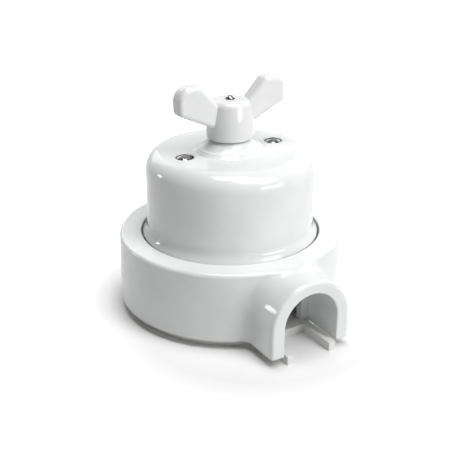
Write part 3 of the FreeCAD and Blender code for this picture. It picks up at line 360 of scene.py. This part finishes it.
@dataclass(frozen=True)
class WhiteMoulding(Finish):
    """Injection-moulded white plastic: satin, with a fine spark texture and faint flow lines.

    The spark texture is drawn several times coarser than a real mould's, so that it shows.
    """

    colour: str = "#F2F2F0"
    flow_colour: str = "#E9EAE7"
    spark_mm: float = 0.35
    spark_depth_mm: float = 0.012
    flow_mm: float = 6.0
    flow_stretch: tuple[float, float, float] = (1.0, 0.25, 1.0)
    smooth: float = 0.32
    dull: float = 0.44
    ior: float = 1.5

    def shade(self, tree: Tree, place: Socket) -> Socket:
        """Flow lines drawn out along Y, a spark-eroded grain and uneven satin.

        Args:
            tree: The material's node tree.
            place: Object coordinates in metres.

        Returns:
            The shader output.
        """
        drawn = add_node(tree, "ShaderNodeVectorMath", {"operation": "MULTIPLY"}, {
            0: place, 1: self.flow_stretch}).outputs["Vector"]
        flow = add_node(tree, "ShaderNodeTexNoise", inputs={
            "Vector": drawn, "Scale": per_mm(self.flow_mm)}).outputs["Fac"]
        lines = add_node(tree, "ShaderNodeMapRange", inputs={
            "Value": flow, "From Min": NOISE_LOW, "From Max": NOISE_HIGH}).outputs["Result"]
        satin = add_node(tree, "ShaderNodeMapRange", inputs={
            "Value": lines, "To Min": self.smooth, "To Max": self.dull}).outputs["Result"]
        body = add_node(tree, "ShaderNodeMix", {"data_type": "RGBA"}, {
            MIX_SHARE: lines, MIX_FIRST: linear(self.colour), MIX_SECOND: linear(self.flow_colour)})
        spark = add_node(tree, "ShaderNodeTexNoise", inputs={
            "Vector": place, "Scale": per_mm(self.spark_mm)}).outputs["Fac"]
        relief = add_node(tree, "ShaderNodeBump", inputs={
            "Height": spark, "Distance": self.spark_depth_mm * MM}).outputs["Normal"]
        return add_node(tree, "ShaderNodeBsdfPrincipled", inputs={
            "Base Color": body.outputs[MIX_COLOUR], "Roughness": satin, "IOR": self.ior,
            "Normal": relief}).outputs["BSDF"]


@dataclass(frozen=True)
class BrightPlate(Finish):
    """Turned and bright-plated steel: mirror-like, with faint turning rings round the screw's own axis.

    Painted shade darkens the slot and the ring round the head, where the screw is least open, nearly to
    black.
    The rings are drawn about twice as far apart as a real feed, so that they show.
    """

    colour: str = "#9E9E9D"
    # Painted shade: the near-black colour, and the AO reach and range that lay it in the slot and round the
    # head.
    painted_shade_colour: str = "#1E1D1C"
    painted_shade_mm: float = 0.9
    painted_shade_shut: float = 0.55
    painted_shade_open: float = 0.95
    axis_x_mm: float = 0.0
    ring_mm: float = 0.22
    ring_depth_mm: float = 0.004
    smudge_mm: float = 1.8
    smudge_from: float = 0.35
    smudge_to: float = 0.7
    polished: float = 0.07
    smudged: float = 0.18

    def shade(self, tree: Tree, place: Socket) -> Socket:
        """Painted shade where it is least open, with rings and a worn shine.

        Args:
            tree: The material's node tree.
            place: Object coordinates in metres.

        Returns:
            The shader output.
        """
        # Painted shade: the least open spots, the slot and the ring round the head, are mixed towards near
        # black.
        open_sky = add_node(tree, "ShaderNodeAmbientOcclusion", {"samples": AO_SAMPLES}, {
            "Distance": self.painted_shade_mm * MM}).outputs["AO"]
        painted_shade = add_node(tree, "ShaderNodeMapRange", inputs={
            "Value": open_sky, "From Min": self.painted_shade_shut, "From Max": self.painted_shade_open,
            "To Min": 1.0, "To Max": 0.0}).outputs["Result"]
        plate = add_node(tree, "ShaderNodeMix", {"data_type": "RGBA"}, {
            MIX_SHARE: painted_shade, MIX_FIRST: linear(self.colour), MIX_SECOND: linear(self.painted_shade_colour)})
        smudge = add_node(tree, "ShaderNodeTexNoise", inputs={
            "Vector": place, "Scale": per_mm(self.smudge_mm), "Detail": BROKEN_DETAIL}).outputs["Fac"]
        worn = add_node(tree, "ShaderNodeMapRange", inputs={
            "Value": smudge, "From Min": self.smudge_from, "From Max": self.smudge_to,
            "To Min": self.polished, "To Max": self.smudged}).outputs["Result"]
        return add_node(tree, "ShaderNodeBsdfPrincipled", inputs={
            "Base Color": plate.outputs[MIX_COLOUR], "Metallic": 1.0, "Roughness": worn,
            "Normal": self.rings(tree, place)}).outputs["BSDF"]

    def rings(self, tree: Tree, place: Socket) -> Socket:
        """Turning rings by the sine of the distance from the axis, mirrored in X for the second screw.

        Args:
            tree: The material's node tree.
            place: Object coordinates in metres.

        Returns:
            The bumped normal.
        """
        mirrored = add_node(tree, "ShaderNodeVectorMath", {"operation": "ABSOLUTE"}, {
            0: place}).outputs["Vector"]
        own = add_node(tree, "ShaderNodeVectorMath", {"operation": "SUBTRACT"}, {
            0: mirrored, 1: (self.axis_x_mm * MM, 0.0, 0.0)}).outputs["Vector"]
        level = add_node(tree, "ShaderNodeVectorMath", {"operation": "MULTIPLY"}, {
            0: own, 1: (1.0, 1.0, 0.0)}).outputs["Vector"]
        away = add_node(tree, "ShaderNodeVectorMath", {"operation": "LENGTH"}, {0: level}).outputs["Value"]
        phase = add_node(tree, "ShaderNodeMath", {"operation": "MULTIPLY"}, {
            0: away, 1: 2.0 * math.pi * per_mm(self.ring_mm)}).outputs["Value"]
        wave = add_node(tree, "ShaderNodeMath", {"operation": "SINE"}, {0: phase}).outputs["Value"]
        return add_node(tree, "ShaderNodeBump", inputs={
            "Height": wave, "Distance": self.ring_depth_mm / 2.0 * MM}).outputs["Normal"]


@dataclass(frozen=True)
class RolledSteel(Finish):
    """Rolled or drawn steel: fine streaks along the grain that blur the lights across it.

    The streaks are drawn several times wider than real ones, so that they show.
    """

    colour: str = "#A6A6A5"
    dull_colour: str = "#8C8B89"
    streak_mm: float = 0.3
    streak_depth_mm: float = 0.004
    bright: float = 0.26
    dull: float = 0.40
    grain: Grain = Grain.X

    def shade(self, tree: Tree, place: Socket) -> Socket:
        """Streaks drawn out along the grain, in colour, roughness and relief.

        Args:
            tree: The material's node tree.
            place: Object coordinates in metres.

        Returns:
            The shader output.
        """
        drawn = add_node(tree, "ShaderNodeVectorMath", {"operation": "MULTIPLY"}, {
            0: place, 1: self.grain.value}).outputs["Vector"]
        streak = add_node(tree, "ShaderNodeTexNoise", inputs={
            "Vector": drawn, "Scale": per_mm(self.streak_mm), "Detail": BROKEN_DETAIL}).outputs["Fac"]
        tone = add_node(tree, "ShaderNodeMapRange", inputs={
            "Value": streak, "From Min": NOISE_LOW, "From Max": NOISE_HIGH}).outputs["Result"]
        shine = add_node(tree, "ShaderNodeMapRange", inputs={
            "Value": tone, "To Min": self.bright, "To Max": self.dull}).outputs["Result"]
        metal = add_node(tree, "ShaderNodeMix", {"data_type": "RGBA"}, {
            MIX_SHARE: tone, MIX_FIRST: linear(self.colour), MIX_SECOND: linear(self.dull_colour)})
        relief = add_node(tree, "ShaderNodeBump", inputs={
            "Height": streak, "Distance": self.streak_depth_mm * MM}).outputs["Normal"]
        return add_node(tree, "ShaderNodeBsdfPrincipled", inputs={
            "Base Color": metal.outputs[MIX_COLOUR], "Metallic": 1.0, "Roughness": shine,
            "Normal": relief}).outputs["BSDF"]


@dataclass(frozen=True)
class StampedBrass(Finish):
    """Stamped and turned brass: warm metal with brown tarnish clouds and fine rub marks.

    The rub marks are drawn several times wider than real ones, so that they show.
    """

    colour: str = "#CFAE63"
    tarnish_colour: str = "#A07F42"
    tarnish_mm: float = 4.0
    tarnish_from: float = 0.42
    tarnish_to: float = 0.72
    bright: float = 0.24
    dull: float = 0.42
    rub_mm: float = 0.25
    rub_depth_mm: float = 0.004

    def shade(self, tree: Tree, place: Socket) -> Socket:
        """Tarnish clouds that also dull the shine, and rub marks along X.

        Args:
            tree: The material's node tree.
            place: Object coordinates in metres.

        Returns:
            The shader output.
        """
        cloud = add_node(tree, "ShaderNodeTexNoise", inputs={
            "Vector": place, "Scale": per_mm(self.tarnish_mm), "Detail": RAGGED_DETAIL}).outputs["Fac"]
        tarnish = add_node(tree, "ShaderNodeMapRange", inputs={
            "Value": cloud, "From Min": self.tarnish_from, "From Max": self.tarnish_to}).outputs["Result"]
        shine = add_node(tree, "ShaderNodeMapRange", inputs={
            "Value": tarnish, "To Min": self.bright, "To Max": self.dull}).outputs["Result"]
        metal = add_node(tree, "ShaderNodeMix", {"data_type": "RGBA"}, {
            MIX_SHARE: tarnish, MIX_FIRST: linear(self.colour), MIX_SECOND: linear(self.tarnish_colour)})
        drawn = add_node(tree, "ShaderNodeVectorMath", {"operation": "MULTIPLY"}, {
            0: place, 1: Grain.X.value}).outputs["Vector"]
        rub = add_node(tree, "ShaderNodeTexNoise", inputs={
            "Vector": drawn, "Scale": per_mm(self.rub_mm)}).outputs["Fac"]
        relief = add_node(tree, "ShaderNodeBump", inputs={
            "Height": rub, "Distance": self.rub_depth_mm * MM}).outputs["Normal"]
        return add_node(tree, "ShaderNodeBsdfPrincipled", inputs={
            "Base Color": metal.outputs[MIX_COLOUR], "Metallic": 1.0, "Roughness": shine,
            "Normal": relief}).outputs["BSDF"]


@dataclass(frozen=True)
class PhenolicMoulding(Finish):
    """Pressed phenolic with wood-flour filling: dark brown, mottled, half-gloss.

    Filler and skin are drawn several times coarser than real ones, so that they show.
    """

    colour: str = "#33231A"
    mottle_colour: str = "#4A3325"
    mottle_mm: float = 1.4
    mottle_from: float = 0.4
    mottle_to: float = 0.7
    bright: float = 0.34
    dull: float = 0.5
    skin_mm: float = 0.4
    skin_depth_mm: float = 0.008

    def shade(self, tree: Tree, place: Socket) -> Socket:
        """Filler mottles in colour and shine, with a fine pressed skin.

        Args:
            tree: The material's node tree.
            place: Object coordinates in metres.

        Returns:
            The shader output.
        """
        cloud = add_node(tree, "ShaderNodeTexNoise", inputs={
            "Vector": place, "Scale": per_mm(self.mottle_mm), "Detail": RAGGED_DETAIL}).outputs["Fac"]
        mottle = add_node(tree, "ShaderNodeMapRange", inputs={
            "Value": cloud, "From Min": self.mottle_from, "From Max": self.mottle_to}).outputs["Result"]
        shine = add_node(tree, "ShaderNodeMapRange", inputs={
            "Value": mottle, "To Min": self.bright, "To Max": self.dull}).outputs["Result"]
        body = add_node(tree, "ShaderNodeMix", {"data_type": "RGBA"}, {
            MIX_SHARE: mottle, MIX_FIRST: linear(self.colour), MIX_SECOND: linear(self.mottle_colour)})
        skin = add_node(tree, "ShaderNodeTexNoise", inputs={
            "Vector": place, "Scale": per_mm(self.skin_mm)}).outputs["Fac"]
        relief = add_node(tree, "ShaderNodeBump", inputs={
            "Height": skin, "Distance": self.skin_depth_mm * MM}).outputs["Normal"]
        return add_node(tree, "ShaderNodeBsdfPrincipled", inputs={
            "Base Color": body.outputs[MIX_COLOUR], "Roughness": shine,
            "Normal": relief}).outputs["BSDF"]


def nodes_in(slot: Slot) -> list[str]:
    """Names of the CAD nodes that the record gives a slot."""
    return [part["node"] for part in frame["record"]["subparts"] if part["material_slot"] == slot.value]


def dress(node_name: str, material: bpy.types.Material) -> None:
    """Puts a material in every slot of a CAD node and logs the piece.

    Args:
        node_name: The node's name in the frame.
        material: The material to use.
    """
    node = frame["nodes"][node_name]
    for slot in node.material_slots:
        slot.material = material
    log.info("%s: %s", node_name, material.name)


def turned(name: str, profile_mm: np.ndarray, steps: int) -> bpy.types.Object:
    """Turns a closed profile once round the switch's axis, as on a potter's wheel.

    Point (i, j) is profile point j at angle 2 pi i / steps: its radius times the angle's cosine and
    sine, at its own height. The last ring joins the first, and the profile's end joins its start.

    Args:
        name: The piece's name.
        profile_mm: Radius and height of each profile point, anticlockwise, so that faces point outwards.
        steps: Points round the axis.

    Returns:
        The piece, smooth and in the scene.
    """
    angle = np.arange(steps)[:, None] * (2.0 * math.pi / steps)
    radius, height = profile_mm[None, :, 0] * MM, profile_mm[None, :, 1] * MM
    places = np.broadcast_arrays(np.cos(angle) * radius, np.sin(angle) * radius, height)
    points = np.stack(places, axis=-1)
    count = len(profile_mm)
    ring, along = np.meshgrid(np.arange(steps), np.arange(count), indexing="ij")
    next_ring, next_along = (ring + 1) % steps, (along + 1) % count
    faces = np.stack((
        ring * count + along, next_ring * count + along,
        next_ring * count + next_along, ring * count + next_along), axis=-1)
    mesh = bpy.data.meshes.new(name)
    mesh.from_pydata(points.reshape(-1, 3).tolist(), [], faces.reshape(-1, 4).tolist())
    mesh.shade_smooth()
    piece = bpy.data.objects.new(name, mesh)
    bpy.context.scene.collection.objects.link(piece)
    return piece


def stand(name: str, data: bpy.types.ID, spot: Vector, facing: Vector) -> bpy.types.Object:
    """Stands a camera or lamp in the scene.

    Args:
        name: The object's name.
        data: The camera or lamp.
        spot: Its place in metres.
        facing: The direction that it looks along.

    Returns:
        The object.
    """
    thing = bpy.data.objects.new(name, data)
    thing.location = spot
    thing.rotation_mode = "QUATERNION"
    thing.rotation_quaternion = facing.to_track_quat("-Z", "Y")
    bpy.context.scene.collection.objects.link(thing)
    return thing


@dataclass
class PhotoCamera:
    """The photograph's camera, fitted to the object's own edges."""

    azimuth_deg: float = -31.05
    elevation_deg: float = 24.14
    distance_mm: float = 313.3
    target_height_mm: float = 26.46
    focal_px: float = 840.28
    nearest_m: float = 0.01
    farthest_m: float = 20.0

    def build(self) -> None:
        """Makes the camera and gives it to the scene."""
        back = direction(self.azimuth_deg, self.elevation_deg)
        data = bpy.data.cameras.new("photo_camera")
        data.sensor_width = SENSOR_MM
        data.lens = self.focal_px / IMAGE_SIDE_PX * SENSOR_MM
        data.clip_start, data.clip_end = self.nearest_m, self.farthest_m
        spot = Vector((0.0, 0.0, self.target_height_mm * MM)) + back * self.distance_mm * MM
        bpy.context.scene.camera = stand("photo_camera", data, spot, -back)


@dataclass(frozen=True)
class Lamp:
    """One soft lamp, placed by angles round the object: azimuth 0 at the camera, positive to its right."""

    name: str
    azimuth_deg: float
    elevation_deg: float
    distance_m: float
    width_m: float
    height_m: float
    watts: float
    in_glaze: bool = True
    aim_height_m: float = 0.04

    def build(self) -> None:
        """Makes the lamp, aimed at the object's middle; a pure fill leaves no light spot in the glaze."""
        out = direction(PhotoCamera.azimuth_deg + self.azimuth_deg, self.elevation_deg)
        data = bpy.data.lights.new(self.name, "AREA")
        data.shape = "RECTANGLE"
        data.size, data.size_y = self.width_m, self.height_m
        data.energy = self.watts
        spot = Vector((0.0, 0.0, self.aim_height_m)) + out * self.distance_m
        lamp = stand(self.name, data, spot, -out)
        lamp.visible_glossy = self.in_glaze


@dataclass
class Studio:
    """White paper on a table that sweeps up behind the object, soft lamps, and a dim room in front."""

    floor_half_m: float = 1.5
    floor_seen: str = "#F2F2F2"
    floor_bounce: str = "#DCDCDC"
    # To the camera the paper glows, from nothing to white between these two distances from the centre.
    lift_centre_m: tuple[float, float, float] = (0.0, -0.020, 0.0)
    lift_from_m: float = 0.044
    lift_to_m: float = 0.118
    lift_mirrored: float = 0.15
    # How bright the surround is in mirrors, in front and behind, and how far back it changes over.
    room: float = 0.12
    sweep: float = 0.85
    sweep_from: float = 0.1
    sweep_to: float = 0.6
    # Each lamp's azimuth and elevation in degrees, distance, width and height in metres, and watts.
    lamps: tuple[Lamp, ...] = (
        Lamp("overhead_softbox", 0.0, 89.0, 1.2, 0.50, 0.50, 6.9),
        Lamp("high_front_right_softbox", 45.0, 62.0, 1.2, 0.55, 0.55, 5.2),
        Lamp("high_right_softbox", 60.0, 44.0, 1.2, 0.45, 0.45, 2.7),
        Lamp("right_card", 57.0, 11.0, 0.9, 0.54, 0.22, 2.2),
        Lamp("rear_fill", 180.0, 20.0, 0.9, 0.90, 0.55, 1.6, in_glaze=False),
        Lamp("rear_left_card", -150.0, 25.0, 0.9, 0.38, 0.44, 0.6),
        Lamp("rear_right_card", 143.0, 22.0, 0.9, 0.38, 0.44, 0.8),
        Lamp("left_glint", -105.0, 8.0, 0.6, 0.08, 0.09, 0.2),
    )

    def build(self) -> None:
        """Makes floor, world and lamps."""
        self.build_floor()
        self.build_world()
        for lamp in self.lamps:
            lamp.build()

    def build_floor(self) -> None:
        """A flat floor that looks white, also in mirrors, and keeps the object's shadow near it."""
        half = self.floor_half_m
        mesh = bpy.data.meshes.new("floor")
        corners = [(-half, -half, 0.0), (half, -half, 0.0), (half, half, 0.0), (-half, half, 0.0)]
        mesh.from_pydata(corners, [], [(0, 1, 2, 3)])
        floor = bpy.data.objects.new("floor", mesh)
        bpy.context.scene.collection.objects.link(floor)
        material = bpy.data.materials.new("white_paper_sweep")
        material.use_nodes = True
        tree = material.node_tree
        tree.nodes.clear()
        path = add_node(tree, "ShaderNodeLightPath")
        seen = add_node(tree, "ShaderNodeMath", {"operation": "MAXIMUM"}, {
            0: path.outputs["Is Camera Ray"], 1: path.outputs["Is Glossy Ray"]}).outputs["Value"]
        colour = add_node(tree, "ShaderNodeMix", {"data_type": "RGBA"}, {
            MIX_SHARE: seen, MIX_FIRST: linear(self.floor_bounce),
            MIX_SECOND: linear(self.floor_seen)}).outputs[MIX_COLOUR]
        paper = add_node(tree, "ShaderNodeBsdfDiffuse", inputs={"Color": colour}).outputs["BSDF"]
        place = add_node(tree, "ShaderNodeTexCoord").outputs["Object"]
        away = add_node(tree, "ShaderNodeVectorMath", {"operation": "DISTANCE"}, {
            0: place, 1: self.lift_centre_m}).outputs["Value"]
        lift = add_node(tree, "ShaderNodeMapRange", inputs={
            "Value": away, "From Min": self.lift_from_m, "From Max": self.lift_to_m}).outputs["Result"]
        direct = add_node(tree, "ShaderNodeMath", {"operation": "MULTIPLY"}, {
            0: path.outputs["Is Camera Ray"], 1: lift}).outputs["Value"]
        mirrored = add_node(tree, "ShaderNodeMath", {"operation": "MULTIPLY"}, {
            0: path.outputs["Is Glossy Ray"], 1: self.lift_mirrored}).outputs["Value"]
        glow = add_node(tree, "ShaderNodeMath", {"operation": "MAXIMUM"}, {
            0: direct, 1: mirrored}).outputs["Value"]
        shine = add_node(tree, "ShaderNodeEmission", inputs={"Strength": glow}).outputs["Emission"]
        both = add_node(tree, "ShaderNodeAddShader", inputs={0: paper, 1: shine}).outputs["Shader"]
        add_node(tree, "ShaderNodeOutputMaterial", inputs={"Surface": both})
        mesh.materials.append(material)

    def build_world(self) -> None:
        """A surround that gives no light: white to the camera, in mirrors white behind and dim in front."""
        world = bpy.data.worlds.new("white_surround")
        bpy.context.scene.world = world
        world.use_nodes = True
        tree = world.node_tree
        tree.nodes.clear()
        path = add_node(tree, "ShaderNodeLightPath")
        place = add_node(tree, "ShaderNodeTexCoord").outputs["Object"]
        rear = -direction(PhotoCamera.azimuth_deg, 0.0)
        behind = add_node(tree, "ShaderNodeVectorMath", {"operation": "DOT_PRODUCT"}, {
            0: place, 1: tuple(rear)}).outputs["Value"]
        sweep = add_node(tree, "ShaderNodeMapRange", inputs={
            "Value": behind, "From Min": self.sweep_from, "From Max": self.sweep_to,
            "To Min": self.room, "To Max": self.sweep}).outputs["Result"]
        mirrored = add_node(tree, "ShaderNodeMath", {"operation": "MULTIPLY"}, {
            0: path.outputs["Is Glossy Ray"], 1: sweep}).outputs["Value"]
        strength = add_node(tree, "ShaderNodeMath", {"operation": "MAXIMUM"}, {
            0: mirrored, 1: path.outputs["Is Camera Ray"]}).outputs["Value"]
        back = add_node(tree, "ShaderNodeBackground", inputs={
            "Color": linear(WHITE), "Strength": strength}).outputs["Background"]
        add_node(tree, "ShaderNodeOutputWorld", inputs={"Surface": back})


@dataclass
class SurfaceBox:
    """The glazed ring with its conduit spout, and the moulded plate that carries it."""

    bare_foot_mm: float = 0.4

    def dress(self) -> None:
        """Glazes the ring down to just above its foot, and gives the plate its moulded satin."""
        foot_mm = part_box("surface_box")[0][2] / MM
        glaze = GlazedPorcelain("porcelain_cast_and_glazed", bare_below_mm=foot_mm + self.bare_foot_mm)
        dress("surface_box", glaze.material())
        dress("back_plate", WhiteMoulding("plastic_injection_moulded").material())


@dataclass
class CoverCap:
    """The glazed cap, the mound on it that rises to the knob's collar, and the two bright screws."""

    ripple_mm: float = 9.0
    # From the cover's crest up to the knob's collar, and the gap in which the collar runs.
    collar_above_mm: float = 3.1
    running_gap_mm: float = 0.22
    # The mound's radii, from the spindle's hole to the foot.
    mound_hole_mm: float = 5.4
    mound_lip_mm: float = 7.5
    lip_round_mm: float = 0.6
    mound_foot_mm: float = 11.9
    sunk_mm: float = 0.3
    hollow: float = 1.6
    points_up: int = 24
    points_round: int = 128

    def mound_profile(self) -> np.ndarray:
        """Section of the mound, in millimetres.

        The slope's height grows from the foot, sunk just into the cover, as the share of the way in to
        the power of hollow. A quarter round leads from the slope to the flat lip under the collar.

        Returns:
            Radius and height of each point, anticlockwise from the foot.
        """
        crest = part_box("cover")[1][2] / MM
        low = crest - self.sunk_mm
        top = crest + self.collar_above_mm - self.running_gap_mm
        shoulder = top - self.lip_round_mm
        edge = self.mound_lip_mm + self.lip_round_mm
        inwards = np.linspace(0.0, 1.0, self.points_up)
        slope = np.stack((
            self.mound_foot_mm + inwards * (edge - self.mound_foot_mm),
            low + (shoulder - low) * inwards ** self.hollow), axis=-1)
        turn = np.linspace(0.0, math.pi / 2.0, self.points_up)[1:]
        lip = np.stack((
            self.mound_lip_mm + self.lip_round_mm * np.cos(turn),
            shoulder + self.lip_round_mm * np.sin(turn)), axis=-1)
        inside = np.array(((self.mound_hole_mm, top), (self.mound_hole_mm, low)))
        return np.concatenate((slope, lip, inside))

    def build_mound(self, glaze: bpy.types.Material) -> None:
        """Raises the cover's centre to just under the knob's collar.

        Args:
            glaze: The cover's own glaze.
        """
        mound = turned("cover_mound", self.mound_profile(), self.points_round)
        mound.data.materials.append(glaze)
        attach(mound, "housing")
        log.info("%s: %s", mound.name, glaze.name)

    def dress(self) -> None:
        """Glazes the cap and its mound, and turns the screws' rings round their own axes."""
        glaze = GlazedPorcelain("porcelain_turned_and_glazed", ripple_mm=self.ripple_mm).material()
        dress("cover", glaze)
        self.build_mound(glaze)
        low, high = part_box("cover_screws")
        head_radius = (high[1] - low[1]) / 2.0
        axis_mm = (high[0] - head_radius) / MM
        dress("cover_screws", BrightPlate("steel_turned_bright_plated", axis_x_mm=axis_mm).material())


@dataclass
class WingKnob:
    """The glazed knob, pressed in a mould, and the small screw in its top."""

    colour: str = "#EFEFEE"
    ripple_mm: float = 5.0
    cloud_mm: float = 9.0

    def dress(self) -> None:
        """Glazes the knob with a finer ripple than the large pieces have, and plates its screw."""
        glaze = GlazedPorcelain(
            "porcelain_pressed_and_glazed", colour=self.colour,
            cloud_mm=self.cloud_mm, ripple_mm=self.ripple_mm)
        dress("knob", glaze.material())
        dress("knob_screw", BrightPlate("steel_turned_bright_plated_small").material())


@dataclass
class Mechanism:
    """The works under the cover: base, bridge, rotor, contacts and their screws."""

    sheet_nodes: tuple[str, ...] = ("bearing_bridge", "detent_springs", "spindle_clip")

    def dress(self) -> None:
        """Gives each hidden piece the finish of its slot; steel runs along the sheet or along the bar."""
        finishes = {
            Slot.BARE: BarePorcelain("porcelain_pressed_unglazed"),
            Slot.BRASS: StampedBrass("brass_stamped"),
            Slot.PHENOLIC: PhenolicMoulding("phenolic_pressed")}
        for slot, finish in finishes.items():
            material = finish.material()
            for name in nodes_in(slot):
                dress(name, material)
        sheet = RolledSteel("steel_cold_rolled").material()
        bar = RolledSteel("steel_drawn_bar", grain=Grain.Z).material()
        for name in nodes_in(Slot.STEEL):
            dress(name, sheet if name in self.sheet_nodes else bar)


def main() -> None:
    """Builds and dresses the switch, then the studio."""
    logging.basicConfig(level=logging.INFO)
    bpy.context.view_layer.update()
    for piece in (SurfaceBox(), CoverCap(), WingKnob(), Mechanism()):
        piece.dress()
    Studio().build()
    PhotoCamera().build()
    bpy.context.scene.view_settings.view_transform = "Standard"


if __name__ == "__main__":
    main()
